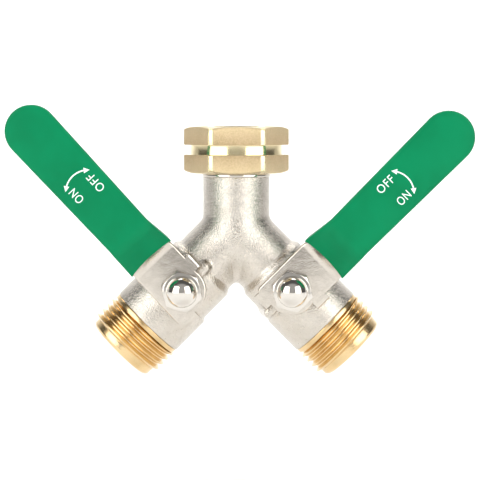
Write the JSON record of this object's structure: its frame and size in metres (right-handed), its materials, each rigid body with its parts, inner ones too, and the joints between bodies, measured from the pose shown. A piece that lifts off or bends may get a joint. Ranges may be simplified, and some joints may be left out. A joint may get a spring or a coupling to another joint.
{
  "type": "hose splitter",
  "caption": "Two-way garden hose splitter: Y body with a swivel inlet nut and a quarter-turn ball valve with a dipped lever in each threaded outlet.",
  "frame": {"origin": "on the inlet axis, at the first crest of the swivel nut's inside thread, 1.3 mm inside its mouth", "axes": "+Z along the inlet axis out of the nut's mouth, +X towards the right-hand outlet, -Y to the front where the levers are"},
  "size_m": [0.1494, 0.044, 0.0886],
  "materials": {
    "nickel_plate": "nickel-plated forged brass, satin with a fine blasted grain",
    "blasted_brass": "bare brass, fine blasted flats and bright turned edges",
    "bright_brass": "bare machined brass, bright",
    "stem_brass": "turned brass",
    "spring_steel": "plain spring wire",
    "plated_steel": "stamped steel, nickel-plated, satin",
    "polished_chrome": "polished and plated, mirror",
    "green_vinyl": "dipped vinyl, semi-gloss",
    "ptfe": "turned PTFE",
    "black_rubber": "moulded rubber"
  },
  "bodies": {
    "fitting": {"y_body": "nickel_plate", "nut_retaining_ring": "spring_steel", "inlet_washer": "black_rubber", "left_outlet_nipple": "bright_brass", "left_inner_seat": "ptfe", "left_outer_seat": "ptfe", "right_outlet_nipple": "bright_brass", "right_inner_seat": "ptfe", "right_outer_seat": "ptfe"},
    "inlet_nut": {"swivel_nut": "blasted_brass"},
    "left_valve": {"left_stem": "stem_brass", "left_thrust_washer": "ptfe", "left_stem_o_rings": "black_rubber", "left_lever": "plated_steel", "left_grip": "green_vinyl", "left_cap_nut": "polished_chrome"},
    "left_ball_body": {"left_ball": "polished_chrome"},
    "right_valve": {"right_stem": "stem_brass", "right_thrust_washer": "ptfe", "right_stem_o_rings": "black_rubber", "right_lever": "plated_steel", "right_grip": "green_vinyl", "right_cap_nut": "polished_chrome"},
    "right_ball_body": {"right_ball": "polished_chrome"}
  },
  "joints": [
    {"name": "nut_swivel", "type": "hinge", "parent": "fitting", "child": "inlet_nut", "pos_m": [0, 0, 0], "axis": [0, 0, 1], "continuous": true},
    {"name": "left_lever_turn", "type": "hinge", "parent": "fitting", "child": "left_valve", "pos_m": [-0.01768, 0, -0.05148], "axis": [0, -1, 0], "range_deg": [0, 92.2]},
    {"name": "left_ball_turn", "type": "hinge", "parent": "fitting", "child": "left_ball_body", "pos_m": [-0.01768, 0, -0.05148], "axis": [0, -1, 0], "range_deg": [0, 92.2]},
    {"name": "right_lever_turn", "type": "hinge", "parent": "fitting", "child": "right_valve", "pos_m": [0.01768, 0, -0.05148], "axis": [0, 1, 0], "range_deg": [0, 92.2]},
    {"name": "right_ball_turn", "type": "hinge", "parent": "fitting", "child": "right_ball_body", "pos_m": [0.01768, 0, -0.05148], "axis": [0, 1, 0], "range_deg": [0, 92.2]}
  ],
  "couplings": [
    {"joint": "left_ball_turn", "follows": "left_lever_turn", "ratio": 1},
    {"joint": "right_ball_turn", "follows": "right_lever_turn", "ratio": 1}
  ]
}
